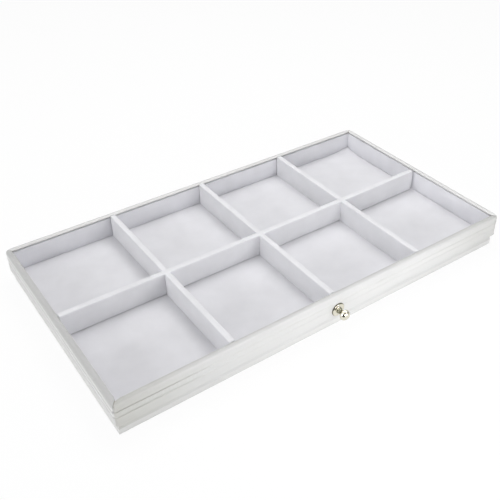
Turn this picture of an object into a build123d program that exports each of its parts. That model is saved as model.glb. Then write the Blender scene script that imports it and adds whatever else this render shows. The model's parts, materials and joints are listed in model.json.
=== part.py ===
from build123d import *
import math
import os

os.makedirs("parts", exist_ok=True)

# The tray stands on the plane z = 0 with its long sides along X and its knob towards -Y.
# All lengths are in millimetres. Distances called "out" run outwards from the lined inner face.

# Plan and wall
inner_length = 365.0
inner_width = 195.0
wall = 5.0
corner_radius = 2.6
skin = 0.5
curve_gap = 0.3
quarter_turn = 90
corner_reach_share = math.sqrt(2) - 1
mitre_angle = 45
overrun = 2.0

# Heights, from the underside up
felt_thickness = 0.5
base_thickness = 4.6
floor_board_thickness = 3.9
pad_thickness = 0.8
floor_lining_thickness = 0.8
compartment_depth = 20.0
divider_rise = 1.0
base_top = felt_thickness + base_thickness
ledge_z = base_top + floor_board_thickness
pad_top = ledge_z + pad_thickness
floor_z = pad_top + floor_lining_thickness
lip_under_z = floor_z + compartment_depth
divider_top = lip_under_z + divider_rise

# Rounded rim: round outside, with a flatter lip that overhangs the linings inside
rim_radius = wall / 2
rim_rise = 1.4
lining_shadow_gap = 0.6
lining_top = lip_under_z - lining_shadow_gap
rim_crown_z = lip_under_z + rim_rise
rim_centre_z = rim_crown_z - rim_radius

# Outer face: foot, cove and lip below, two fine grooves above
plinth_inset = 2.4
cove_foot_rise = 1.0
lip_z = 11.5
cove_middle_in = 1.75
cove_middle_drop = 1.9
cove_normal_shares = (0.75, 0.66)
groove_heights = (19.5, 24.7)
groove_depths = (0.5, 0.8)
groove_half_width = 0.65

# Linings and floor: the linings stand a little outside the inner edge of the rim
lining_set_back = 0.7
lining_thickness = 1.2
lining_back = lining_set_back + lining_thickness
lining_edge_radius = 0.6
lining_end_gap = 0.2
floor_gap = 0.3
felt_inset = 1.5
plinth_corner_radius = corner_radius - plinth_inset

# Lattice of lapped dividers, which stands loose and a little off the middle along X
divider_thickness = 5.0
divider_skin = 0.8
divider_top_skin = 1.2
divider_edge_radius = 1.0
long_end_gap = 1.5
lattice_offset = -1.2
short_end_gap = 0.4
divider_core_shy = 0.3
long_divider_lift = 0.5
lap_gap = 0.15
cells_long = 4
lap_z = (floor_z + divider_top) / 2

# Knob, rosette and the screw that holds them
knob_x = 1.3
knob_z = 17.0
rosette_radius = 6.0
rosette_thickness = 1.2
rosette_edge = 0.8
collar_radius = 3.1
collar_height = 0.4
knob_foot_radius = 2.7
knob_waist_radius = 2.0
knob_head_radius = 4.5
knob_foot_length = 0.6
knob_waist_length = 3.4
knob_head_start = 6.1
knob_head_full = 8.0
knob_head_flare = 0.8
knob_crown_start = 8.9
knob_length = 11.7
screw_radius = 1.2
thread_clearance = 0.05
screw_hole_clearance = 0.3
screw_head_radius = 2.6
screw_head_thickness = 1.0
screw_head_recess = 1.1
screw_seat_clearance = 0.3
screw_tip = 6.6
thread_hole_end = 7.4

# Brads through the mitres and up through the base
brad_radius = 0.45
brad_clearance = 0.03
brad_head_radius = 0.9
brad_head_thickness = 0.4
base_brad_out = 1.05
base_brad_top = 8.5
base_brads_long_side = 4
base_brads_short_side = 2
corner_brad_out = 3.0
corner_brad_start = 3.2
corner_brad_length = 14.0
corner_brad_heights = (14.5, 22.1)

half_length = inner_length / 2
half_width = inner_width / 2


def outer_line(inset, shy):
    # Line of the outer side from foot to rim: flats are set in by inset, curves by inset and shy.
    face_out = wall - inset
    foot_out = face_out - plinth_inset
    curve = inset + shy
    cove_low = (foot_out - shy, base_top + cove_foot_rise)
    cove_mid = (
        wall - cove_middle_in - curve * cove_normal_shares[0],
        lip_z - cove_middle_drop + curve * cove_normal_shares[1],
    )
    cove_high = (face_out - shy, lip_z + curve)
    edges = [Line((foot_out, base_top), (foot_out, base_top + cove_foot_rise))]
    if shy > 0:
        edges.append(Line((foot_out, base_top + cove_foot_rise), cove_low))
    edges.append(ThreePointArc(cove_low, cove_mid, cove_high))
    corners = [cove_high]
    if shy > 0:
        corners.append((face_out, lip_z + curve))
    for height, groove_depth in zip(groove_heights, groove_depths):
        slope = math.hypot(groove_depth, groove_half_width)
        half = groove_half_width + inset * (slope - groove_half_width) / groove_depth
        depth = groove_depth + inset * slope / groove_half_width - inset
        corners.append((face_out, height - half))
        corners.append((face_out - depth, height))
        corners.append((face_out, height + half))
    corners.append((face_out, rim_centre_z))
    if shy > 0:
        corners.append((face_out - shy, rim_centre_z))
    edges.append(Polyline(*corners))
    return edges


def rim_curves(inset):
    # Rim from the outer face over the crown to the underside of its lip, set in by inset.
    crown = (rim_radius, rim_crown_z - inset)
    end = (inset, lip_under_z)
    outer = CenterArc((rim_radius, rim_centre_z), rim_radius - inset, 0, quarter_turn)
    return [outer, Spline(crown, end, tangents=[(-1, 0), (0, -1)])]


def wrap_section():
    # Thin leatherette strip from the foot, over the rim, to the underside of the lip.
    foot_out = wall - plinth_inset
    edges = outer_line(0, 0) + outer_line(skin, 0) + rim_curves(0) + rim_curves(skin)
    edges.append(Line((0, lip_under_z), (skin, lip_under_z)))
    edges.append(Line((foot_out - skin, base_top), (foot_out, base_top)))
    return make_face(edges)


def core_section():
    # Wooden strip inside the leatherette, before the pocket for the linings is cut.
    rim_start = skin + curve_gap
    foot_out = wall - plinth_inset - skin
    edges = outer_line(skin, curve_gap) + rim_curves(rim_start)
    edges.append(
        Polyline((rim_start, lip_under_z), (0, lip_under_z), (0, base_top), (foot_out, base_top))
    )
    return make_face(edges)


def box_between(low, high):
    size = [b - a for a, b in zip(low, high)]
    middle = [(a + b) / 2 for a, b in zip(low, high)]
    return Pos(*middle) * Box(*size)


def rail(section, run, reach, pivot):
    # Bar facing -Y along its run, turned through half of each rounded corner to the mitre.
    height = rim_crown_z + overrun
    across = Plane(origin=(0, -reach, 0), x_dir=(0, -1, 0), z_dir=(-1, 0, 0))
    bar = extrude(across * section, run + pivot, both=True)
    end_x = -(run + pivot)
    mitre = Polyline(
        (end_x, -(reach + pivot)),
        (-run + overrun, -reach + overrun),
        (end_x - overrun, -reach + overrun),
        (end_x - overrun, -(reach + pivot)),
        close=True,
    )
    waste = extrude(make_face(mitre), height)
    beyond = Pos((pivot + wall + overrun) / 2, height / 2) * Rectangle(wall + overrun - pivot, height)
    turned = Plane(origin=(end_x, -reach, 0), x_dir=(0, -1, 0), z_dir=(-1, 0, 0)) * (section & beyond)
    corner = revolve(turned, Axis((end_x, -(reach + pivot), 0), (0, 0, -1)), mitre_angle)
    bar = bar - waste - mirror(waste, about=Plane.YZ)
    bar = bar + corner
    return bar + mirror(corner, about=Plane.YZ)


def four_sides(section, pivot):
    # The four mitred strips of one layer, by side.
    long_strip = rail(section, half_length, half_width, pivot)
    short_strip = rail(section, half_width, half_length, pivot)
    return {
        "front": long_strip,
        "back": Rot(0, 0, quarter_turn * 2) * long_strip,
        "left": Rot(0, 0, -quarter_turn) * short_strip,
        "right": Rot(0, 0, quarter_turn) * short_strip,
    }


def outward(radius, near, far):
    # Cylinder on the knob's axis between two distances out from the lined front face.
    middle = -(half_width + (near + far) / 2)
    return Pos(knob_x, middle, knob_z) * Rot(quarter_turn, 0, 0) * Cylinder(radius, far - near)


def turned_outward(profile):
    # Solid turned about the knob's axis; the profile's X is radius, its Y is distance out of the wall.
    plane = Plane(origin=(knob_x, -(half_width + wall), knob_z), x_dir=(1, 0, 0), z_dir=(0, 0, 1))
    face = plane * mirror(make_face(profile), about=Plane.XZ)
    return revolve(face, Axis((knob_x, 0, knob_z), (0, 1, 0)))


def brad(radius, head_radius, length, head_thickness):
    # Brad standing on its head, with its point up.
    head = Pos(0, 0, head_thickness / 2) * Cylinder(head_radius, head_thickness)
    return head + Pos(0, 0, length / 2) * Cylinder(radius, length)


def base_brad_places():
    spread = half_length * 2 / base_brads_long_side
    places = []
    for side in (-1, 1):
        for i in range(base_brads_long_side):
            along = (i - (base_brads_long_side - 1) / 2) * spread
            places.append((along, side * (half_width + base_brad_out)))
        for i in range(base_brads_short_side):
            along = (i - (base_brads_short_side - 1) / 2) * half_width
            places.append((side * (half_length + base_brad_out), along))
    return places


def base_brads(extra):
    # All upright brads, fattened by extra to make their holes.
    one = brad(
        brad_radius + extra,
        brad_head_radius + extra,
        base_brad_top - felt_thickness + extra,
        brad_head_thickness + extra,
    )
    return [Pos(x, y, felt_thickness) * one for x, y in base_brad_places()]


def corner_brads(extra):
    # Level brads, driven along X through the end of each short rail into the long one.
    length = corner_brad_length + 2 * extra
    start = half_length + corner_brad_start + extra
    brads = []
    for side_x in (-1, 1):
        for side_y in (-1, 1):
            for height in corner_brad_heights:
                middle = (side_x * (start - length / 2), side_y * (half_width + corner_brad_out), height)
                brads.append(Pos(*middle) * Rot(0, quarter_turn, 0) * Cylinder(brad_radius + extra, length))
    return brads


def cut_all(solid, tools):
    for tool in tools:
        solid = solid - tool
    return solid


def divider_bar(half_run, foot):
    # Full divider shape along X with softly rounded top edges.
    half = divider_thickness / 2
    bar = box_between((-half_run, -half, foot), (half_run, half, divider_top))
    top_edges = bar.edges().filter_by(Axis.X).group_by(Axis.Z)[-1]
    return fillet(top_edges, divider_edge_radius)


def divider_core_bar(half_run, foot, extra):
    half = divider_thickness / 2 - divider_skin
    low = (-half_run, -half, foot - extra)
    return box_between(low, (half_run, half, divider_top - divider_top_skin))


def short_divider_places():
    pitch = inner_length / cells_long
    return [(i + 1) * pitch - half_length + lattice_offset for i in range(cells_long - 1)]


parts = {}

# Leatherette-covered wooden rails, mitred at the corners
wrap_pivot = wall - corner_radius
core_corner = corner_radius - skin + curve_gap / corner_reach_share
core_pivot = wall - skin - core_corner
pocket_x = half_length + lining_back
pocket_y = half_width + lining_back
pocket = box_between((-pocket_x, -pocket_y, ledge_z), (pocket_x, pocket_y, lip_under_z))
screw_hole = outward(screw_radius + screw_hole_clearance, -overrun, wall + overrun)
head_seat = outward(
    screw_head_radius + screw_seat_clearance,
    -overrun,
    lining_back + screw_head_recess,
)
brad_holes = base_brads(brad_clearance) + corner_brads(brad_clearance)

for side, strip in four_sides(wrap_section(), wrap_pivot).items():
    if side == "front":
        strip = strip - screw_hole
    parts[side + "_wrap"] = strip
for side, strip in four_sides(core_section(), core_pivot).items():
    strip = cut_all(strip - pocket, brad_holes)
    if side == "front":
        strip = strip - screw_hole - head_seat
    parts[side + "_rail"] = strip

# Base board with its felt, and the padded floor
base_x = half_length + wall - plinth_inset
base_y = half_width + wall - plinth_inset
base_plan = RectangleRounded(base_x * 2, base_y * 2, plinth_corner_radius)
felt_plan = RectangleRounded((base_x - felt_inset) * 2, (base_y - felt_inset) * 2, plinth_corner_radius)
base_block = Pos(0, 0, felt_thickness) * extrude(base_plan, base_thickness)
parts["base_board"] = cut_all(base_block, base_brads(brad_clearance))
parts["base_felt"] = extrude(felt_plan, felt_thickness)

floor_x = half_length - floor_gap
floor_y = half_width - floor_gap
parts["floor_board"] = box_between((-floor_x, -floor_y, base_top), (floor_x, floor_y, ledge_z))
cloth_x = floor_x + lining_set_back
cloth_y = floor_y + lining_set_back
parts["floor_pad"] = box_between((-cloth_x, -cloth_y, ledge_z), (cloth_x, cloth_y, pad_top))
parts["floor_lining"] = box_between((-cloth_x, -cloth_y, pad_top), (cloth_x, cloth_y, floor_z))


def lining_board(half_run, reach):
    board = box_between(
        (-half_run, -(reach + lining_thickness), ledge_z),
        (half_run, -reach, lining_top),
    )
    top_edge = board.edges().filter_by(Axis.X).group_by(Axis.Z)[-1].sort_by(Axis.Y)[-1]
    return fillet(top_edge, lining_edge_radius)


# Lining boards of the four walls
long_lining = lining_board(
    half_length + lining_back - lining_end_gap,
    half_width + lining_set_back,
)
short_lining = lining_board(
    half_width + lining_set_back - lining_end_gap,
    half_length + lining_set_back,
)
parts["front_lining"] = long_lining
parts["back_lining"] = Rot(0, 0, quarter_turn * 2) * long_lining
parts["left_lining"] = Rot(0, 0, -quarter_turn) * short_lining
parts["right_lining"] = Rot(0, 0, quarter_turn) * short_lining

# Lattice: the long divider has slots from below, the short ones a slot from above
lap_half = divider_thickness / 2 + lap_gap
long_half = half_length - long_end_gap
long_foot = floor_z + long_divider_lift
low_slots = []
for x in short_divider_places():
    low = (x - lap_half, -(lap_half + overrun), floor_z - overrun)
    low_slots.append(box_between(low, (x + lap_half, lap_half + overrun, lap_z)))
long_bar = divider_bar(long_half, long_foot)
long_wrap = long_bar - divider_core_bar(long_half + overrun, long_foot, overrun)
long_core = divider_core_bar(long_half - divider_core_shy, long_foot, 0)
long_place = Pos(lattice_offset, 0, 0)
parts["long_divider_wrap"] = cut_all(long_place * long_wrap, low_slots)
parts["long_divider_core"] = cut_all(long_place * long_core, low_slots)

short_half = half_width - short_end_gap
high_slot = box_between(
    (-lap_half, -(lap_half + overrun), lap_z),
    (lap_half, lap_half + overrun, divider_top + overrun),
)
short_bar = divider_bar(short_half, floor_z)
short_wrap = short_bar - divider_core_bar(short_half + overrun, floor_z, overrun) - high_slot
short_core = divider_core_bar(short_half - divider_core_shy, floor_z, 0) - high_slot
for number, x in enumerate(short_divider_places(), start=1):
    place = Pos(x, 0, 0) * Rot(0, 0, quarter_turn)
    parts["short_divider_" + str(number) + "_wrap"] = place * short_wrap
    parts["short_divider_" + str(number) + "_core"] = place * short_core

# Knob: turned rosette, turned knob with a blind threaded hole, and its screw from inside
rosette_top = rosette_thickness + collar_height
rosette_profile = [
    Polyline(
        (0, 0),
        (rosette_radius, 0),
        (rosette_radius, rosette_thickness - rosette_edge),
    ),
    RadiusArc(
        (rosette_radius, rosette_thickness - rosette_edge),
        (rosette_radius - rosette_edge, rosette_thickness),
        -rosette_edge,
    ),
    Polyline(
        (rosette_radius - rosette_edge, rosette_thickness),
        (collar_radius, rosette_thickness),
        (collar_radius, rosette_top),
        (0, rosette_top),
        (0, 0),
    ),
]
rosette = turned_outward(rosette_profile)
parts["knob_rosette"] = rosette - screw_hole

waist_z = rosette_top + knob_waist_length
foot_top = rosette_top + knob_foot_length
knob_profile = [
    Polyline((0, rosette_top), (knob_foot_radius, rosette_top), (knob_foot_radius, foot_top)),
    ThreePointArc(
        (knob_foot_radius, foot_top),
        (knob_waist_radius, (foot_top + waist_z) / 2),
        (knob_waist_radius, waist_z),
    ),
    Line((knob_waist_radius, waist_z), (knob_waist_radius, knob_head_start)),
    ThreePointArc(
        (knob_waist_radius, knob_head_start),
        ((knob_waist_radius + knob_head_radius) / 2, knob_head_full - knob_head_flare),
        (knob_head_radius, knob_head_full),
    ),
    Line((knob_head_radius, knob_head_full), (knob_head_radius, knob_crown_start)),
    Spline(
        (knob_head_radius, knob_crown_start),
        (0, knob_length),
        tangents=[(0, 1), (-1, 0)],
    ),
    Line((0, knob_length), (0, rosette_top)),
]
thread_hole = outward(screw_radius + thread_clearance, wall - overrun, wall + thread_hole_end)
parts["knob"] = turned_outward(knob_profile) - thread_hole

seat_out = lining_back + screw_head_recess
screw_shank = outward(screw_radius, seat_out - screw_head_thickness, wall + screw_tip)
screw_head = outward(screw_head_radius, seat_out - screw_head_thickness, seat_out)
parts["knob_screw"] = screw_head + screw_shank

# Brads, each a loose solid in its group
parts["base_brads"] = Compound(children=base_brads(0))
parts["corner_brads"] = Compound(children=corner_brads(0))

for name, shape in parts.items():
    export_step(shape, "parts/" + name + ".step")
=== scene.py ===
import json
import math
import bmesh
import bpy
from mathutils import Matrix, Vector


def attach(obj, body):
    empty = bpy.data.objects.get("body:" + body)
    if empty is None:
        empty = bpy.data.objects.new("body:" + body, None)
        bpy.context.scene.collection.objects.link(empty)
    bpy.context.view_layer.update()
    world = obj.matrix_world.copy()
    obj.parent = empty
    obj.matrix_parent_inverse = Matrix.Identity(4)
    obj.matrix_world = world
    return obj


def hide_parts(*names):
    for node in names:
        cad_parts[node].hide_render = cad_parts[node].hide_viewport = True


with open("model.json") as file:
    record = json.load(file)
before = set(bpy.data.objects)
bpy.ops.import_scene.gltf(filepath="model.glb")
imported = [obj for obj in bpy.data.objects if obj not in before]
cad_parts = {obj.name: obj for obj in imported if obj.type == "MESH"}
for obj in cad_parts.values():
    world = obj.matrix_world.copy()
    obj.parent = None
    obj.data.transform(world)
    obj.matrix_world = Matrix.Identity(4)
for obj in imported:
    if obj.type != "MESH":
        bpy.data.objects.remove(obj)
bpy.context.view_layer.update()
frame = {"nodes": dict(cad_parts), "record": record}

MM = 0.001
TAU = math.tau
nodes = frame["nodes"]


def rgba(r, g, b):
    return (r, g, b, 1.0)


def grey(tone):
    return (tone, tone, tone)


def scaled(base, factor=1.0):
    """Shader colour made from a base colour times a factor, at most white."""
    return rgba(*(min(1, c * factor) for c in base))


class Nodes:
    """Adds shader nodes and links to the node tree of a material or a world."""

    def __init__(self, owner):
        owner.use_nodes = True
        self.owner = owner
        self.tree = owner.node_tree
        self.shader = self.tree.nodes.get("Principled BSDF")

    def add(self, kind, **values):
        node = self.tree.nodes.new(kind)
        for key, value in values.items():
            if key in node.inputs:
                node.inputs[key].default_value = value
            else:
                setattr(node, key, value)
        return node

    def link(self, a, b):
        self.tree.links.new(a, b)

    def set(self, **values):
        """Sets inputs of the main shader, whose names are given with _ for a space."""
        for key, value in values.items():
            self.shader.inputs[key.replace("_", " ")].default_value = value

    def noise(self, scale, detail=2.0, stretch=(1, 1, 1)):
        place = self.add("ShaderNodeTexCoord")
        mapping = self.add("ShaderNodeMapping", Scale=stretch)
        texture = self.add("ShaderNodeTexNoise", Scale=scale, Detail=detail)
        self.link(place.outputs["Object"], mapping.inputs["Vector"])
        self.link(mapping.outputs["Vector"], texture.inputs["Vector"])
        return texture.outputs["Fac"]

    def ramp(self, fac, stops):
        ramp = self.add("ShaderNodeValToRGB")
        elements = ramp.color_ramp.elements
        elements[0].position, elements[0].color = stops[0]
        elements[1].position, elements[1].color = stops[-1]
        for place, colour in stops[1:-1]:
            elements.new(place).color = colour
        self.link(fac, ramp.inputs["Fac"])
        return ramp.outputs["Color"]

    def toned(self, colour, axis, stops):
        """Colour multiplied by tones that change along one axis, given by place in millimetres."""
        start, end = stops[0][0], stops[-1][0]
        place = self.add("ShaderNodeTexCoord")
        split = self.add("ShaderNodeSeparateXYZ")
        reach = self.add("ShaderNodeMapRange")
        reach.inputs["From Min"].default_value = start * MM
        reach.inputs["From Max"].default_value = end * MM
        self.link(place.outputs["Object"], split.inputs[0])
        self.link(split.outputs[axis], reach.inputs["Value"])
        shares = [((at - start) / (end - start), rgba(*tone)) for at, tone in stops]
        both = self.add("ShaderNodeMixRGB", blend_type="MULTIPLY")
        both.inputs[0].default_value = 1.0
        self.link(colour, both.inputs[1])
        self.link(self.ramp(reach.outputs[0], shares), both.inputs[2])
        return both.outputs[0]

    def span(self, fac, low, high):
        reach = self.add("ShaderNodeMapRange")
        reach.inputs["To Min"].default_value = low
        reach.inputs["To Max"].default_value = high
        self.link(fac, reach.inputs["Value"])
        return reach.outputs["Result"]

    def bump(self, height, strength, distance, after=None):
        bump = self.add("ShaderNodeBump", Strength=strength, Distance=distance)
        self.link(height, bump.inputs["Height"])
        if after is not None:
            self.link(after, bump.inputs["Normal"])
        return bump.outputs["Normal"]

    def calculate(self, operation, first, second, third=None):
        """Math node whose inputs are outputs of other nodes or numbers."""
        node = self.add("ShaderNodeMath", operation=operation)
        for socket, value in zip(node.inputs, (first, second, third)):
            if isinstance(value, (int, float)):
                socket.default_value = value
            elif value is not None:
                self.link(value, socket)
        return node.outputs[0]

    def dress(self, colour, roughness, normal):
        """Links colour, roughness and normal to the main shader."""
        self.link(colour, self.shader.inputs["Base Color"])
        self.link(roughness, self.shader.inputs["Roughness"])
        self.link(normal, self.shader.inputs["Normal"])


def new_material(name):
    return Nodes(bpy.data.materials.new(name))


def cloth(name, base, spread=0.03, sheen=0.25):
    n = new_material(name)
    clouds = [(0.3, scaled(base, 1 - spread)), (0.7, scaled(base, 1 + spread))]
    n.dress(
        n.ramp(n.noise(scale=60, detail=3), clouds),
        n.span(n.noise(scale=300), low=0.82, high=0.95),
        n.bump(n.noise(scale=2600), strength=0.35, distance=0.0002),
    )
    n.set(Sheen_Weight=sheen, Sheen_Roughness=0.5, Specular_IOR_Level=0.2)
    return n.owner


def leatherette(name, base, stretch, tones=()):
    """Pressed leatherette with fine streaks, and tones that change along its axes, which paint light and
    shade where they are given.
    """
    n = new_material(name)
    streak = n.noise(scale=90, detail=3, stretch=stretch)
    colour = n.ramp(streak, [(0.3, scaled(base, 0.965)), (0.7, scaled(base, 1.02))])
    for tone in tones:
        colour = n.toned(colour, *tone)
    grain = n.bump(n.noise(scale=1500, detail=3), strength=0.25, distance=0.0002)
    n.dress(
        colour,
        n.span(n.noise(scale=120, detail=3), low=0.42, high=0.58),
        n.bump(streak, strength=0.3, distance=0.0003, after=grain),
    )
    n.set(Specular_IOR_Level=0.4)
    return n.owner


def wood(name, base):
    n = new_material(name)
    grain = n.noise(scale=60, detail=5, stretch=(0.08, 1, 1))
    n.dress(
        n.ramp(grain, [(0.35, scaled(base, 0.75)), (0.65, scaled(base))]),
        n.span(grain, low=0.6, high=0.85),
        n.bump(grain, strength=0.3, distance=0.0003),
    )
    return n.owner


def metal(name, base, rough, tones=None):
    n = new_material(name)
    haze = n.noise(scale=900, detail=3)
    colour = n.ramp(haze, [(0.3, scaled(base, 0.94)), (0.7, scaled(base))])
    if tones:
        colour = n.toned(colour, *tones)
    n.dress(
        colour,
        n.span(n.noise(scale=400, detail=3), low=rough * 0.7, high=rough * 1.4),
        n.bump(n.noise(scale=700), strength=0.04, distance=0.0001),
    )
    n.set(Metallic=1.0)
    return n.owner


ALONG_X = (0.05, 1, 1)
ALONG_Y = (1, 0.05, 1)
LEATHER = (0.646, 0.646, 0.642)

# Painted shade on the front: it is a little darker and warmer towards its left end, and darker towards its
# right end
END_PAINTED_SHADE = ("X", (
    (-187.5, (0.86, 0.855, 0.82)), (-165, (0.90, 0.90, 0.875)), (-115, grey(1)),
    (110, grey(1)), (150, (0.94, 0.94, 0.93)), (187.5, (0.88, 0.88, 0.87)),
))
# Painted shade on the front: it is a little greyer over the crown of its rim, which faces up
CROWN_PAINTED_SHADE = ("Z", ((0, grey(1)), (30.9, grey(1)), (31.7, grey(0.86)), (32, grey(0.86))))
# On the left side, painted shade in the pressed lines and over the crown of the rim, with painted highlights
# on the pale ridges beside the lines
LEFT_PAINTED_SHADE_AND_HIGHLIGHTS = ("Z", tuple((z, grey(tone)) for z, tone in (
    (12, 0.84), (18.7, 0.84), (19.5, 0.60), (20.4, 0.88), (21.6, 0.98), (23.2, 0.90), (24.0, 0.80),
    (24.7, 0.58), (25.5, 0.84), (26.8, 1.0), (28.2, 0.84), (29.6, 0.70), (32, 0.65),
)))
# Painted dark reflections on the neck of the knob and on the edge of the rosette, which are darker than the
# rest
NECK_PAINTED_REFLECTIONS = ("Y", (
    (-114.5, grey(1)), (-110.2, grey(1)), (-109.0, (0.42, 0.42, 0.37)), (-106.2, (0.32, 0.32, 0.27)),
    (-104.7, (0.42, 0.42, 0.37)), (-104.1, grey(1)), (-103.6, grey(1)), (-103.2, (0.35, 0.35, 0.32)),
    (-102.5, (0.25, 0.25, 0.22)),
))

SIDE_LEATHER = {
    "front": leatherette("leatherette_front_painted_shade", LEATHER, ALONG_X, (END_PAINTED_SHADE, CROWN_PAINTED_SHADE)),
    "back": leatherette("leatherette_lengthwise", LEATHER, ALONG_X),
    # The left side's leatherette is a lighter copy, painted light that its painted shade tones darken except
    # on the highlighted ridges
    "left": leatherette("leatherette_left_painted_light", (0.78, 0.78, 0.775), ALONG_Y, (LEFT_PAINTED_SHADE_AND_HIGHLIGHTS,)),
    "right": leatherette("leatherette_crosswise", LEATHER, ALONG_Y),
}
plinth_mat = leatherette("plinth_facing", (0.70, 0.70, 0.693), ALONG_X)
wall_cloth = cloth("wall_cloth", (0.78, 0.78, 0.812))
floor_mat = cloth("floor_cloth", (0.703, 0.701, 0.726))
divider_cloth = cloth("divider_cloth", (0.735, 0.735, 0.758))
felt = cloth("base_felt", (0.55, 0.55, 0.57), spread=0.08, sheen=0.1)
foam = cloth("floor_foam", (0.80, 0.78, 0.70), spread=0.05, sheen=0.0)
frame_wood = wood("frame_wood", (0.40, 0.36, 0.31))
board_wood = wood("board_wood", (0.45, 0.32, 0.19))
nickel = metal("polished_nickel_painted_reflections", (0.76, 0.73, 0.62), 0.10, NECK_PAINTED_REFLECTIONS)
zinc = metal("zinc_steel", (0.55, 0.55, 0.55), 0.35)

SLOT_LOOKS = {
    "frame_wood": frame_wood,
    "leatherette": SIDE_LEATHER["back"],
    "wall_lining": wall_cloth,
    "plinth_white": plinth_mat,
    "base_felt": felt,
    "floor_wood": board_wood,
    "floor_foam": foam,
    "floor_cloth": floor_mat,
    "divider_wood": board_wood,
    "divider_cloth": divider_cloth,
    "knob_metal": nickel,
    "steel": zinc,
}


def dress_solids():
    """Gives each CAD node the material of its slot, and each wrap that of its side."""
    wraps = {side + "_wrap": look for side, look in SIDE_LEATHER.items()}
    for part in frame["record"]["subparts"]:
        look = wraps.get(part["node"], SLOT_LOOKS[part["material_slot"]])
        for slot in nodes[part["node"]].material_slots:
            slot.material = look


dress_solids()

# Sizes of the shapes, in millimetres as in the CAD part; "out" runs outwards from the lined inner face
HALF_X, HALF_Y = 182.5, 97.5
WALL = 5.0
PIVOT = 2.4
FOOT_OUT = 2.6
BASE_TOP, LEDGE_Z, PAD_TOP, FLOOR_Z = 5.1, 9.0, 9.8, 10.6
LINING_TOP, LIP_Z, DIVIDER_TOP = 29.3, 30.6, 31.6
LAP_Z = (FLOOR_Z + DIVIDER_TOP) / 2
RIM_RADIUS, CROWN_Z = 2.5, 32.0
RIM_CENTRE = CROWN_Z - RIM_RADIUS
LEATHER_SKIN = 0.48
GROOVES = ((19.5, 0.75), (24.7, 1.0))
GROOVE_HALF = 0.6
COVE_FOOT, COVE_MIDDLE, COVE_TOP = (FOOT_OUT, 6.1), (3.0, 9.75), (WALL - 0.12, 11.38)
BAND_START = (WALL, 11.62)
LINING_FACE, LINING_BACK = 0.7, 1.9
LINING_GAP = 0.2
FLOOR_GAP = 0.3
DIVIDER_HALF = 2.5
DIVIDER_ROUND = 1.0
LONG_HALF, SHORT_HALF = 181.0, 97.4
LONG_LIFT = 0.5
LATTICE_X = -1.2
CELL = HALF_X / 2
SHORT_PLACES = (LATTICE_X - CELL, LATTICE_X, LATTICE_X + CELL)
CORE_HALF, CORE_TOP, CORE_SHY, CORE_GAP = 1.7, 30.4, 0.3, 0.02
LAP_GAP = 0.15
NOTCH_GAP = 0.07
FELT_INSET, FELT_CORNER, FELT_EASE, FELT_TOP = 1.5, 1.2, 0.15, 0.5
KNOB_X, KNOB_Z = 1.3, 17.0
SCREW_HOLE = 1.5
ROSETTE_RADIUS, ROSETTE_FACE, ROSETTE_TOP = 6.0, 1.2, 1.6
COLLAR_RADIUS = 3.1
THREAD_RADIUS, THREAD_END = 1.26, 7.42
KNOB_FOOT, KNOB_NECK, KNOB_HEAD = 2.7, 2.0, 4.5
FOOT_END, NECK_END, HEAD_FULL, KNOB_LENGTH = 2.2, 4.2, 8.0, 11.7


def ease(t):
    t = min(max(t, 0.0), 1.0)
    return t * t * (3 - 2 * t)


def soft_corners(points, steps=4):
    """Line through corner points (u, z, rounding), with each corner eased over its rounding."""
    line = [Vector(points[0][:2])]
    for before, here, after in zip(points, points[1:], points[2:]):
        p, a, b = Vector(here[:2]), Vector(before[:2]), Vector(after[:2])
        reach = here[2]
        if reach <= 0:
            line.append(p)
            continue
        a, b = p + (a - p).normalized() * reach, p + (b - p).normalized() * reach
        for k in range(steps + 1):
            t = k / steps
            line.append((1 - t) ** 2 * a + 2 * t * (1 - t) * p + t * t * b)
    line.append(Vector(points[-1][:2]))
    return line


def filled(line, step):
    """The same line with points added so that no span is longer than step."""
    out = [line[0]]
    for a, b in zip(line, line[1:]):
        n = max(1, math.ceil((b - a).length / step - 1e-6))
        out += [a.lerp(b, k / n) for k in range(1, n + 1)]
    return out


def arc_points(a, m, b, n):
    """Points on the circle through a, m and b."""
    ax, ay, mx, my, bx, by = *a, *m, *b
    d = 2 * (ax * (my - by) + mx * (by - ay) + bx * (ay - my))
    aa, mm, bb = ax * ax + ay * ay, mx * mx + my * my, bx * bx + by * by
    cx = (aa * (my - by) + mm * (by - ay) + bb * (ay - my)) / d
    cy = (aa * (bx - mx) + mm * (ax - bx) + bb * (mx - ax)) / d
    r = math.hypot(ax - cx, ay - cy)
    t0, t1 = math.atan2(ay - cy, ax - cx), math.atan2(by - cy, bx - cx)
    tm = math.atan2(my - cy, mx - cx)
    if not min(t0, t1) < tm < max(t0, t1):
        t1 += TAU if t1 < t0 else -TAU
    turns = [t0 + (t1 - t0) * k / n for k in range(n + 1)]
    return [Vector((cx + r * math.cos(t), cy + r * math.sin(t))) for t in turns]


def bezier(p0, p1, p2, p3, n):
    p0, p1, p2, p3 = (Vector(p) for p in (p0, p1, p2, p3))
    out = []
    for k in range(n + 1):
        t = k / n
        q = 1 - t
        out.append(p0 * q ** 3 + 3 * p1 * q * q * t + 3 * p2 * q * t * t + p3 * t ** 3)
    return out


def rounded_end(near, reach, depth):
    """How far a side is drawn in near its end, in a quarter round of this reach and depth."""
    return depth * (1 - math.sqrt(max(0.0, 1 - (1 - min(near / reach, 1)) ** 2)))


def ring_faces(n, count):
    """Faces that join count rings of n points each."""
    return [
        (c * n + i, c * n + (i + 1) % n, (c + 1) * n + (i + 1) % n, (c + 1) * n + i)
        for c in range(count - 1)
        for i in range(n)
    ]


def tube_faces(n, count):
    """The same with a face over each end."""
    return ring_faces(n, count) + [tuple(range(n)), tuple(range((count - 1) * n, count * n))]


def finish_mesh(mesh, sharp):
    mesh.polygons.foreach_set("use_smooth", [True] * len(mesh.polygons))
    mesh.set_sharp_from_angle(angle=math.radians(sharp))


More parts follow.
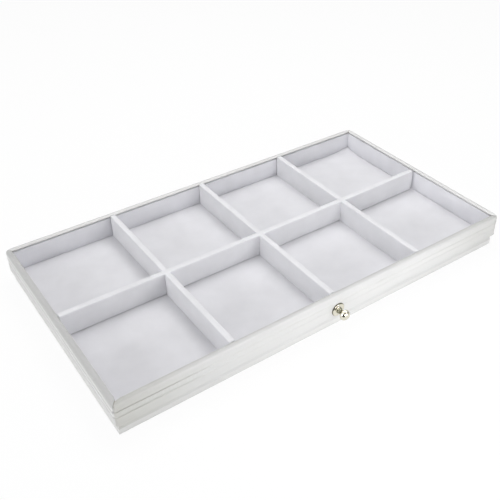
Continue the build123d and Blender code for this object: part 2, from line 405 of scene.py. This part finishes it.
def add_faces(bm, points, faces):
    """Adds the faces, without repeated points and without those that are already there."""
    for face in faces:
        loop = []
        for i in face:
            if not loop or points[i] is not loop[-1]:
                loop.append(points[i])
        if len(set(loop)) >= 3 and bm.faces.get(loop) is None:
            bm.faces.new(loop)


def solid(name, verts, faces, body, replaced, material, sharp=40):
    """Mesh object from points in millimetres, riding on a body and standing for CAD nodes."""
    mesh = bpy.data.meshes.new(name)
    bm = bmesh.new()
    add_faces(bm, [bm.verts.new(Vector(v) * MM) for v in verts], faces)
    bmesh.ops.remove_doubles(bm, verts=bm.verts, dist=1e-7)
    bmesh.ops.dissolve_degenerate(bm, edges=bm.edges, dist=1e-8)
    bmesh.ops.recalc_face_normals(bm, faces=bm.faces)
    bm.to_mesh(mesh)
    bm.free()
    finish_mesh(mesh, sharp)
    mesh.materials.append(material)
    obj = bpy.data.objects.new(name, mesh)
    bpy.context.scene.collection.objects.link(obj)
    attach(obj, body)
    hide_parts(*replaced)
    return obj


def tool_object(verts, faces):
    """Loose closed object that only serves to cut another."""
    mesh = bpy.data.meshes.new("tool")
    mesh.from_pydata([Vector(v) * MM for v in verts], [], faces)
    bm = bmesh.new()
    bm.from_mesh(mesh)
    bmesh.ops.recalc_face_normals(bm, faces=bm.faces)
    bm.to_mesh(mesh)
    bm.free()
    tool = bpy.data.objects.new("tool", mesh)
    bpy.context.scene.collection.objects.link(tool)
    return tool


def cut(obj, tools, sharp=40):
    """Takes closed tool meshes, given as (verts, faces) in millimetres, out of obj."""
    for verts, faces in tools:
        tool = tool_object(verts, faces)
        cutter = obj.modifiers.new("cut", "BOOLEAN")
        cutter.operation = "DIFFERENCE"
        cutter.solver = "EXACT"
        cutter.object = tool
        bpy.context.view_layer.update()
        shape = obj.evaluated_get(bpy.context.evaluated_depsgraph_get())
        result = bpy.data.meshes.new_from_object(shape)
        obj.modifiers.remove(cutter)
        used = (obj.data, tool.data)
        obj.data = result
        bpy.data.objects.remove(tool)
        for mesh in used:
            bpy.data.meshes.remove(mesh)
    obj.data.name = obj.name
    finish_mesh(obj.data, sharp)


def block(low, high):
    (x0, y0, z0), (x1, y1, z1) = low, high
    verts = [(x, y, z) for x in (x0, x1) for y in (y0, y1) for z in (z0, z1)]
    return verts, [(0, 1, 3, 2), (4, 6, 7, 5), (0, 4, 5, 1), (2, 3, 7, 6), (0, 2, 6, 4), (1, 5, 7, 3)]


def prism(loop, axis, start, end):
    """Closed bar whose section loop of (side, z) points runs along axis from start to end."""
    if axis == "x":
        verts = [(run, side, z) for run in (start, end) for side, z in loop]
    else:
        verts = [(side, run, z) for run in (start, end) for side, z in loop]
    return verts, tube_faces(len(loop), 2)


# Turns a strip that faces -Y, given by (along, out, z), to its own side of the tray
SIDES = {
    "front": lambda along, y, z: (along, y, z),
    "back": lambda along, y, z: (-along, -y, z),
    "left": lambda along, y, z: (y, -along, z),
    "right": lambda along, y, z: (-y, along, z),
}
LONG_SIDES = ("front", "back")
RUN = {side: (HALF_X, HALF_Y) if side in LONG_SIDES else (HALF_Y, HALF_X) for side in SIDES}


def leather_outline():
    """Outer line of the leatherette from the foot to the lip, and where the rim starts on it."""
    line = [Vector((FOOT_OUT, BASE_TOP)), Vector((FOOT_OUT, BASE_TOP + 0.5))]
    line += arc_points(COVE_FOOT, COVE_MIDDLE, COVE_TOP, 14)
    band = [(*COVE_TOP, 0), (*BAND_START, 0.12)]
    for z, depth in GROOVES:
        band += [(WALL, z - GROOVE_HALF, 0.12), (WALL - depth, z, 0.1), (WALL, z + GROOVE_HALF, 0.12)]
    band.append((WALL, RIM_CENTRE, 0))
    line += filled(soft_corners(band), 0.9)[1:]
    rim_start = len(line)
    for k in range(1, 13):
        t = math.pi / 2 * k / 12
        line.append(Vector((RIM_RADIUS + RIM_RADIUS * math.cos(t), RIM_CENTRE + RIM_RADIUS * math.sin(t))))
    line += bezier((RIM_RADIUS, CROWN_Z), (1.15, CROWN_Z), (0.0, 31.45), (0.0, LIP_Z), 10)[1:]
    return line, rim_start


def line_normals(line):
    normals = []
    for i in range(len(line)):
        along = (line[min(i + 1, len(line) - 1)] - line[max(i - 1, 0)]).normalized()
        normals.append(Vector((along.y, -along.x)))
    return normals


outer, rim_start = leather_outline()
normals = line_normals(outer)
inner = [
    Vector((p.x - LEATHER_SKIN, p.y)) if i < rim_start else p - normals[i] * LEATHER_SKIN
    for i, p in enumerate(outer)
]

# Stations of a strip: the straight stretch, a lead beside each corner, and the turn up to the mitre
STRAIGHT_SPANS = 120
LEAD = 3.0
LEAD_SHARES = (0.25, 0.5, 0.7, 0.82, 0.9, 0.95, 1.0)
TURN_ANGLES = (8, 16, 24, 31, 36, 40, 43, 45)
MITRE_ANGLE = 45
FAR_FROM_MITRE = 9.0

# Creases at the mitres, by strip and end: two corners stand open near the rim
CREASED = (("front", -1), ("left", 1), ("back", -1), ("right", 1))
CREASE_OPEN, CREASE_CLOSED, CREASE_LOW, CREASE_REACH = 0.75, 0.3, 0.15, 0.55
CREASE_Z, CREASE_SPAN = 24.0, 4.0
# The leatherette is drawn in round the corners, on one of them all the way down to the lip
DRAWN_LOW = (("front", 1), ("right", -1))
DRAWN_IN, DRAWN_REACH, DRAWN_SPAN = 0.45, 4.5, 2.5
DRAWN_FROM_LIP, DRAWN_FROM_RIM = 12.0, 28.0

# Waves of the flat band, and the stretch over which the pressed lines of the long sides grow shallow
BAND_LOW, BAND_HIGH, WAVE = 12.5, 29.0, 0.03
FADE_START, FADE_LENGTH, FADE_SHARE = -150, 45, 0.6


def strip_stations(run):
    """Stations as (end, along, share of the lead, angle turned), with end 0 on the straight stretch."""
    straight = run - LEAD
    corner = [(share, 0) for share in LEAD_SHARES] + [(1, angle) for angle in TURN_ANGLES]
    stations = [(-1, -run, share, angle) for share, angle in reversed(corner)]
    stations += [(0, i * (2 * straight / STRAIGHT_SPANS) - straight, 0, 0) for i in range(STRAIGHT_SPANS + 1)]
    return stations + [(1, run, share, angle) for share, angle in corner]


def strip_point(u, station, run):
    """Place of the section's distance out u at a station, as along and out."""
    end, along, share, angle = station
    if end == 0:
        return along, u
    hold = min(u, PIVOT)
    rest = max(u - PIVOT, 0)
    turn = math.radians(angle)
    length = run - LEAD + share * (LEAD + hold) + rest * math.sin(turn)
    return end * length, hold + rest * math.cos(turn)


def left_to_mitre(u, station):
    """Length of leatherette that is left between a station and its mitre."""
    end, _, share, angle = station
    if end == 0:
        return FAR_FROM_MITRE
    turn = max(u - PIVOT, 0) * math.pi / 4
    return (1 - share) * (LEAD + min(u, PIVOT)) + turn * (1 - angle / MITRE_ANGLE)


def strip_dip(side, end, z, edge):
    """How far the leatherette is drawn in near a mitre."""
    crease = CREASE_OPEN if (side, end) in CREASED else CREASE_CLOSED
    crease = CREASE_LOW + (crease - CREASE_LOW) * ease((z - CREASE_Z) / CREASE_SPAN)
    dip = crease * (1 - ease(edge / CREASE_REACH)) if z > BASE_TOP + 0.3 else 0.0
    low = DRAWN_FROM_LIP if (side, end) in DRAWN_LOW else DRAWN_FROM_RIM
    return dip + DRAWN_IN * (1 - ease(edge / DRAWN_REACH)) * ease((z - low) / DRAWN_SPAN)


def strip_wave(along, z, number, edge):
    """Slight waves on the flat band."""
    if not BAND_LOW < z < BAND_HIGH:
        return 0.0
    wave = WAVE * math.sin(along / 7.3 + z * 0.35 + number * 1.9)
    wave += WAVE * math.sin(along / 17.1 - z * 0.22 + number * 4.1)
    return wave * ease(edge / 4)


def faded_groove(u, z, side, along):
    """Distance out u, less deep in the pressed lines of the long sides away from their left end."""
    if side not in LONG_SIDES or not any(abs(z - height) < GROOVE_HALF + 0.01 for height, _ in GROOVES):
        return u
    from_left = along if side == "front" else -along
    return WALL - (WALL - u) * (1.0 - FADE_SHARE * ease((from_left - FADE_START) / FADE_LENGTH))


def strip(side, number):
    """Leatherette strip of one side, turned round half of each outer corner up to a creased mitre."""
    run, reach = RUN[side]
    stations = strip_stations(run)
    section = [(p, q, True) for p, q in zip(outer, normals)]
    section += [(p, q, False) for p, q in zip(reversed(inner), reversed(normals))]
    verts = []
    for station in stations:
        end, along = station[:2]
        for (u, z), normal, is_outer in section:
            edge = left_to_mitre(u, station)
            shift = -strip_dip(side, end, z, edge)
            if is_outer:
                shift += strip_wave(along, z, number, edge)
                u = faded_groove(u, z, side, along)
            else:
                shift *= 0.5
            here, out = strip_point(u + normal.x * min(shift, 0.0), station, run)
            verts.append(SIDES[side](here, -(reach + out), z + normal.y * shift))
    n, loop = len(outer), len(section)
    faces = ring_faces(loop, len(stations))
    for c in (0, len(stations) - 1):
        for i in range(n - 1):
            faces.append((c * loop + i, c * loop + i + 1, c * loop + loop - 2 - i, c * loop + loop - 1 - i))
    look = SIDE_LEATHER[side]
    return solid(side + "_leatherette", verts, faces, "tray", [side + "_wrap"], look, sharp=50)


def screw_hole():
    """Closed tool for the hole behind the knob."""
    turns = [TAU * k / 40 for k in range(40)]
    ring = [(KNOB_X + SCREW_HOLE * math.cos(t), KNOB_Z + SCREW_HOLE * math.sin(t)) for t in turns]
    face = -HALF_Y - WALL
    return prism(ring, "y", face - 1.5, face + 1.5)


for number, side in enumerate(RUN):
    leather_strip = strip(side, number)
    if side == "front":
        cut(leather_strip, [screw_hole()], sharp=50)


LINING_FULL, LINING_RIPPLE = 0.10, 0.02


def lining_stations(half_run):
    count = 90
    lead = [0.0, 0.12, 0.35]
    stations = [-half_run + d for d in lead]
    stations += [-half_run + 0.8 + (2 * half_run - 1.6) * k / count for k in range(count + 1)]
    return stations + [half_run - d for d in reversed(lead)]


def lining(side, number):
    """Cloth-covered lining board with an eased top edge and a faint fullness of its face."""
    run, reach = RUN[side]
    half_run = run - LINING_GAP + (LINING_BACK if side in LONG_SIDES else LINING_FACE)
    section = filled(soft_corners([
        (LINING_BACK, LEDGE_Z, 0), (LINING_FACE, LEDGE_Z, 0), (LINING_FACE, LINING_TOP, 0.65),
        (LINING_BACK, LINING_TOP, 0.35), (LINING_BACK, LEDGE_Z, 0),
    ], 5), 1.6)[:-1]
    stations = lining_stations(half_run)
    verts = []
    for s in stations:
        near = half_run - abs(s)
        pull = rounded_end(near, reach=0.35, depth=0.3)
        full = ease(near / 12)
        for u, z in section:
            bulge = 0.0
            if u < LINING_FACE + 0.3:
                up = (z - FLOOR_Z) / (LINING_TOP - FLOOR_Z)
                bulge = LINING_FULL * full * math.sin(math.pi * min(max(up, 0), 1))
                bulge += LINING_RIPPLE * full * math.sin(s / 9.0 + number)
                u = u + pull
            verts.append(SIDES[side](s, -(reach + u - bulge), z))
    faces = tube_faces(len(section), len(stations))
    return solid(side + "_lining_board", verts, faces, "tray", [side + "_lining"], wall_cloth)


for number, side in enumerate(RUN):
    lining(side, number)

# Floor: the fullness between the dividers, and the curl of the cloth in the back right corner
CROWN_RISE, CROWN_REACH = 0.24, 11
CURL_RISE, CURL_REACH = 3.0, 21
FLOOR_EDGE_X, FLOOR_EDGE_Y = HALF_X + LINING_FACE - FLOOR_GAP, HALF_Y + LINING_FACE - FLOOR_GAP


def fullness(v, places, half):
    """Share of the crown at v, none under the dividers and at the walls."""
    gap = min([abs(v - p) - DIVIDER_HALF - 0.4 for p in places] + [half - abs(v) - 0.6])
    return ease(gap / CROWN_REACH)


def crown(x, y):
    return CROWN_RISE * fullness(x, SHORT_PLACES, HALF_X) * fullness(y, (0.0,), HALF_Y)


def curl(x, y):
    """Lift of the floor cloth where it stands up a little in the corner at +X, +Y."""
    away = math.hypot(HALF_X + LINING_FACE - x, HALF_Y + LINING_FACE - y)
    return CURL_RISE * (1 - min(away / CURL_REACH, 1)) ** 1.5


def floor_lines(half, count):
    lead = [-half + d for d in (0.0, 0.1, 0.3, 0.6)]
    middle = [-half + 1.2 + (2 * half - 2.4) * k / count for k in range(count + 1)]
    return lead + middle + [-v for v in reversed(lead)]


def layer_faces(nx, ny):
    """Upper and lower grid of nx by ny points, joined round the edge."""
    below = nx * ny
    faces = []
    for j in range(ny - 1):
        for i in range(nx - 1):
            a = j * nx + i
            faces.append((a, a + 1, a + nx + 1, a + nx))
            faces.append((below + a, below + a + nx, below + a + nx + 1, below + a + 1))
    edge = list(range(nx)) + [j * nx + nx - 1 for j in range(1, ny)]
    edge += [(ny - 1) * nx + i for i in range(nx - 2, -1, -1)] + [j * nx for j in range(ny - 2, 0, -1)]
    return faces + [(a, b, b + below, a + below) for a, b in zip(edge, edge[1:] + edge[:1])]


def floor_layer(name, low_z, high_z, roll, is_cover, look, node):
    """Soft layer of the floor, a little full between the dividers and rolled at its edges.
    The cover also follows the fullness under it, and curls up in one corner."""
    xs, ys = floor_lines(FLOOR_EDGE_X, 150), floor_lines(FLOOR_EDGE_Y, 80)
    top, foot = [], []
    for y in ys:
        for x in xs:
            lift = curl(x, y) if is_cover else 0.0
            near = min(FLOOR_EDGE_X - abs(x), FLOOR_EDGE_Y - abs(y))
            top.append((x, y, high_z + crown(x, y) + lift - rounded_end(near, roll, roll)))
            foot.append((x, y, low_z + (crown(x, y) if is_cover else 0.0) + lift))
    faces = layer_faces(len(xs), len(ys))
    return solid(name, top + foot, faces, "tray", [node], look, sharp=60)


floor_cushion = floor_layer(
    "floor_cushion", LEDGE_Z, PAD_TOP, 0.3, False, foam, "floor_pad"
)
floor_cloth = floor_layer(
    "floor_cover", PAD_TOP, FLOOR_Z, 0.55, True, floor_mat, "floor_lining"
)

# Dividers: their rounded ends, their waves, calm beside the laps, and the bend of the long one
END_ROUND = 0.5
DIVIDER_WAVE = 0.035
CALM_START, CALM_REACH = 5, 8
LAP_REACH = 6.0
BOW_ENDS, BOW_DEPTH, BOW_MIDDLE, BOW_HALF = 0.45, 1.1, 10, 190


def bow(x):
    """Slight bend of the long divider towards the front in the middle."""
    return BOW_ENDS - BOW_DEPTH * (1 - ((x - BOW_MIDDLE) / BOW_HALF) ** 2)


def divider_section(grow, foot):
    """Points (side, z) up the right side of a divider and down its left, grown by a gap."""
    half, top, r = DIVIDER_HALF + grow, DIVIDER_TOP + grow, DIVIDER_ROUND + grow
    right = [(half, foot), (half, (foot + top) / 2)]
    for k in range(11):
        t = math.pi / 2 * k / 10
        right.append((half - r + r * math.cos(t), top - r + r * math.sin(t)))
    return right + [(-s, z) for s, z in reversed(right)]


def divider_stations(middle, half_run):
    count = round(half_run * 2 / 2.6)
    lead = (0.0, 0.1, 0.3, 0.6, 1.0)
    stations = [middle - half_run + d for d in lead]
    stations += [(middle - half_run + 1.6) + (2 * half_run - 3.2) * k / count for k in range(count + 1)]
    return stations + [middle + half_run - d for d in reversed(lead)]


def divider_wave(s, axis, centre):
    """Slight waves of a divider's cloth, none at the laps."""
    laps = SHORT_PLACES if axis == "x" else (0.0,)
    calm = min(ease((abs(s - p) - CALM_START) / CALM_REACH) for p in laps)
    return DIVIDER_WAVE * calm * (math.sin(s / 6.1 + centre) + math.sin(s / 13.7 + 2 * centre))


def divider_cover(name, axis, centre, half_run, foot, node):
    """Cloth cover of a divider with soft shoulders and closed ends, before its core is hollowed out."""
    section = filled([Vector(p) for p in divider_section(0.0, foot)], 1.5)
    loop = section + filled([section[-1], section[0]], 1.5)[1:-1]
    middle = LATTICE_X if axis == "x" else 0.0
    stations = divider_stations(middle, half_run)
    verts = []
    for s in stations:
        pull = rounded_end(half_run - abs(s - middle), END_ROUND, END_ROUND)
        wave = divider_wave(s, axis, centre)
        for w, z in loop:
            if z > foot + 0.01:
                side = w * (1 - (pull - wave) / DIVIDER_HALF)
                drop = pull * 0.9 if z > DIVIDER_TOP - DIVIDER_ROUND else 0
                high = z - drop * (z - foot) / (DIVIDER_TOP - foot)
            else:
                side, high = w * (1 - pull / DIVIDER_HALF), z
            verts.append((s, centre + side + bow(s), high) if axis == "x" else (centre + side, s, high))
    faces = tube_faces(len(loop), len(stations))
    return solid(name, verts, faces, "divider_lattice", [node], divider_cloth)


def long_divider():
    cover = divider_cover("long_divider_cover", "x", 0.0, LONG_HALF, FLOOR_Z + LONG_LIFT, "long_divider_wrap")
    reach, half = LONG_HALF - CORE_SHY + CORE_GAP, CORE_HALF + CORE_GAP
    lap = DIVIDER_HALF + LAP_GAP
    tools = [block((LATTICE_X - reach, -half, 0.0), (LATTICE_X + reach, half, CORE_TOP + CORE_GAP))]
    tools += [block((x - lap, -LAP_REACH, 0.0), (x + lap, LAP_REACH, LAP_Z)) for x in SHORT_PLACES]
    cut(cover, tools)


def short_divider(number, x):
    name = "short_divider_%d" % number
    cover = divider_cover(name + "_cover", "y", x, SHORT_HALF, FLOOR_Z, name + "_wrap")
    reach, half = SHORT_HALF - CORE_SHY + CORE_GAP, CORE_HALF + CORE_GAP
    notch = [(s + bow(x), z) for s, z in divider_section(NOTCH_GAP, LAP_Z)]
    cut(cover, [
        block((x - half, -reach, 0.0), (x + half, reach, CORE_TOP + CORE_GAP)),
        prism(notch, "x", x - LAP_REACH, x + LAP_REACH),
    ])


long_divider()
for number, x in enumerate(SHORT_PLACES, start=1):
    short_divider(number, x)


def felt_pad():
    """Felt under the base, with rounded corners and eased edges."""
    middle_x = HALF_X + FOOT_OUT - FELT_INSET - FELT_CORNER
    middle_y = HALF_Y + FOOT_OUT - FELT_INSET - FELT_CORNER
    loop = []
    for quarter, (way_x, way_y) in enumerate(((1, 1), (-1, 1), (-1, -1), (1, -1))):
        for k in range(7):
            t = math.pi / 2 * (quarter + k / 6)
            loop.append((way_x * middle_x, way_y * middle_y, math.cos(t), math.sin(t)))
    small = FELT_CORNER - FELT_EASE
    levels = [(small, 0.0), (FELT_CORNER, 0.12), (FELT_CORNER, FELT_TOP - 0.12), (small, FELT_TOP)]
    verts = [(x + c * r, y + s * r, z) for r, z in levels for x, y, c, s in loop]
    faces = tube_faces(len(loop), len(levels))
    return solid("base_felt_sheet", verts, faces, "tray", ["base_felt"], felt)


felt_pad()


def turned(name, profile, closed, node, turns=96):
    """Metal mesh turned about the knob's axis from (radius, distance out of the wall) points."""
    verts, rings = [], []
    for r, d in profile:
        y = -(HALF_Y + WALL + d)
        if r < 1e-6:
            rings.append([len(verts)] * turns)
            verts.append((KNOB_X, y, KNOB_Z))
            continue
        rings.append(list(range(len(verts), len(verts) + turns)))
        for k in range(turns):
            t = TAU * k / turns
            verts.append((KNOB_X + r * math.cos(t), y, KNOB_Z + r * math.sin(t)))
    pairs = list(zip(rings, rings[1:])) + ([(rings[-1], rings[0])] if closed else [])
    faces = []
    for a, b in pairs:
        for k in range(turns):
            j = (k + 1) % turns
            faces.append((a[k], a[j], b[j], b[k]))
    return solid(name, verts, faces, "tray", [node], nickel, sharp=50)


def knob_profile():
    """Blind threaded hole, foot, neck and head of the knob."""
    line = [Vector(p) for p in (
        (0, THREAD_END), (THREAD_RADIUS, THREAD_END), (THREAD_RADIUS, ROSETTE_TOP),
        (KNOB_FOOT - 0.1, ROSETTE_TOP), (KNOB_FOOT, ROSETTE_TOP + 0.1), (KNOB_FOOT, FOOT_END - 0.05),
    )]
    line += bezier((KNOB_FOOT, FOOT_END), (2.3, 2.45), (KNOB_NECK, 2.9), (KNOB_NECK, NECK_END), 8)
    line += bezier((KNOB_NECK, NECK_END), (KNOB_NECK, 6.2), (4.2, 6.2), (KNOB_HEAD, HEAD_FULL), 14)[1:]
    line += bezier((KNOB_HEAD, HEAD_FULL), (4.62, 9.4), (3.4, KNOB_LENGTH), (0.0, KNOB_LENGTH), 20)[1:]
    return line


def rosette_profile():
    """Flat disc with a chamfered edge and a low collar."""
    return soft_corners([
        (SCREW_HOLE, 0.0, 0), (ROSETTE_RADIUS, 0.0, 0.08), (ROSETTE_RADIUS, 0.55, 0.1),
        (5.35, ROSETTE_FACE, 0.25), (3.3, ROSETTE_FACE, 0.15), (COLLAR_RADIUS, 1.35, 0.06),
        (COLLAR_RADIUS, ROSETTE_TOP, 0.1), (SCREW_HOLE, ROSETTE_TOP, 0),
    ], 5)


turned("knob_rosette_turned", rosette_profile(), True, "knob_rosette")
turned("knob_turned", knob_profile(), False, "knob")

# Stage, in metres
FLOOR_WHITE = 0.94
FLOOR_HALF = 4.0
SKY_SEEN, SKY_MIRRORED, SKY_LIGHT = 0.93, 0.45, 0.02
TRAY_MIDDLE = (0, 0, 0.02)


def flat_object(name, half_x, half_y, look):
    """Level rectangle round the origin."""
    mesh = bpy.data.meshes.new(name)
    corners = ((-half_x, -half_y, 0), (half_x, -half_y, 0), (half_x, half_y, 0), (-half_x, half_y, 0))
    mesh.from_pydata(corners, [], [(0, 1, 2, 3)])
    mesh.materials.append(look)
    obj = bpy.data.objects.new(name, mesh)
    bpy.context.scene.collection.objects.link(obj)
    return obj


def floor_look():
    """Looks white to the camera and in reflections, and keeps a faint shadow."""
    n = new_material("studio_floor")
    n.set(Base_Color=rgba(0.9, 0.9, 0.9), Roughness=0.9, Specular_IOR_Level=0.1)
    white = n.add("ShaderNodeEmission", Color=rgba(1, 1, 1), Strength=1.0)
    rays = n.add("ShaderNodeLightPath")
    seen = n.calculate("MAXIMUM", rays.outputs["Is Camera Ray"], rays.outputs["Is Glossy Ray"])
    seen = n.calculate("MAXIMUM", seen, rays.outputs["Is Transmission Ray"])
    both = n.add("ShaderNodeMixShader")
    n.link(n.calculate("MULTIPLY", seen, FLOOR_WHITE), both.inputs[0])
    n.link(n.shader.outputs[0], both.inputs[1])
    n.link(white.outputs[0], both.inputs[2])
    n.link(both.outputs[0], n.tree.nodes["Material Output"].inputs["Surface"])
    return n.owner


def studio_world():
    """Pale round the table for the camera and for mirrors, nearly dark as a light."""
    n = Nodes(bpy.data.worlds.new("studio"))
    sky = n.tree.nodes["Background"]
    sky.inputs["Color"].default_value = rgba(1, 1, 1)
    rays = n.add("ShaderNodeLightPath")
    mirrored = n.calculate("MAXIMUM", rays.outputs["Is Glossy Ray"], rays.outputs["Is Transmission Ray"])
    faint = n.calculate("MULTIPLY_ADD", mirrored, SKY_MIRRORED, SKY_LIGHT)
    clear = n.calculate("MULTIPLY_ADD", rays.outputs["Is Camera Ray"], SKY_SEEN, faint)
    n.link(clear, sky.inputs["Strength"])
    bpy.context.scene.world = n.owner


def aim(obj, place, target, track):
    obj.location = place
    obj.rotation_euler = (Vector(target) - Vector(place)).to_track_quat(track, "Y").to_euler()


def dark_card(name, place, target, size, tone):
    """Dark card that only mirrors see."""
    n = new_material(name)
    n.set(Base_Color=rgba(tone, tone, tone * 0.9), Roughness=0.9)
    card = flat_object(name, size[0] / 2, size[1] / 2, n.owner)
    aim(card, place, target, "Z")
    card.visible_camera = False
    card.visible_diffuse = False
    card.visible_transmission = False
    card.visible_shadow = False


def softbox(name, place, target, size, power):
    lamp = bpy.data.lights.new(name, "AREA")
    lamp.shape = "RECTANGLE"
    lamp.size, lamp.size_y = size
    lamp.energy = power
    obj = bpy.data.objects.new(name, lamp)
    bpy.context.scene.collection.objects.link(obj)
    aim(obj, place, target, "-Z")


flat_object("studio_floor", FLOOR_HALF, FLOOR_HALF, floor_look())
studio_world()
dark_card("card_left", (-0.24, -0.35, 0.10), (0, -0.113, 0.10), (0.34, 0.24), 0.01)
dark_card("card_low", (-0.14, -0.25, 0.001), (-0.14, -0.25, 1), (0.24, 0.20), 0.01)
dark_card("card_right", (0.24, -0.27, 0.08), (0, -0.113, 0.08), (0.26, 0.20), 0.30)
softbox("overhead", (0.15, 0.12, 0.7), (0.1, 0.05, 0.02), (0.5, 0.5), 3.06)
softbox("overhead_left", (-0.9, 0, 1.1), TRAY_MIDDLE, (1.0, 0.8), 3.48)
softbox("overhead_back", (0, 0.9, 1.1), TRAY_MIDDLE, (1.0, 0.8), 4.13)
softbox("overhead_right", (1.0, 0.1, 1.1), TRAY_MIDDLE, (1.0, 0.8), 2.32)
softbox("front_right", (0.8, -0.6, 1.2), TRAY_MIDDLE, (1.0, 0.8), 2.78)
softbox("front_low", (0.06, -0.62, 0.12), TRAY_MIDDLE, (0.35, 0.22), 1.15)
softbox("front_near", (0.03, -0.36, 0.10), (0.03, -0.1, 0.02), (0.25, 0.06), 0.30)
softbox("left", (-2.6, -0.3, 0.8), TRAY_MIDDLE, (1.6, 1.0), 7.2)
softbox("left_low", (-0.9, -0.1, 0.25), TRAY_MIDDLE, (0.6, 0.35), 2.5)

# Camera fitted to the photograph, in degrees, metres and pixels
AZIMUTH, ELEVATION, ROLL = (math.radians(v) for v in (-36.003, 35.583, 0.319))
EYE = Vector((-0.28140, -0.40711, 0.38515))
IMAGE_PX = 500
FOCAL_PX = 707.28
CENTRE_PX = (274.42, 232.53)
SENSOR = 36


def fitted_camera():
    back = Vector((
        math.sin(AZIMUTH) * math.cos(ELEVATION),
        -math.cos(AZIMUTH) * math.cos(ELEVATION),
        math.sin(ELEVATION),
    ))
    right = Vector((0, 0, 1)).cross(back).normalized()
    up = back.cross(right)
    rolled_right = right * math.cos(ROLL) + up * math.sin(ROLL)
    rolled_up = up * math.cos(ROLL) - right * math.sin(ROLL)
    lens = bpy.data.cameras.new("camera")
    lens.sensor_width = SENSOR
    lens.lens = FOCAL_PX * SENSOR / IMAGE_PX
    lens.shift_x = (IMAGE_PX / 2 - CENTRE_PX[0]) / IMAGE_PX
    lens.shift_y = (CENTRE_PX[1] - IMAGE_PX / 2) / IMAGE_PX
    lens.clip_start = 0.01
    camera = bpy.data.objects.new("camera", lens)
    bpy.context.scene.collection.objects.link(camera)
    turn = Matrix((rolled_right, rolled_up, back)).transposed().to_4x4()
    camera.matrix_world = Matrix.Translation(EYE) @ turn
    bpy.context.scene.camera = camera


fitted_camera()
bpy.context.scene.view_settings.view_transform = "Standard"
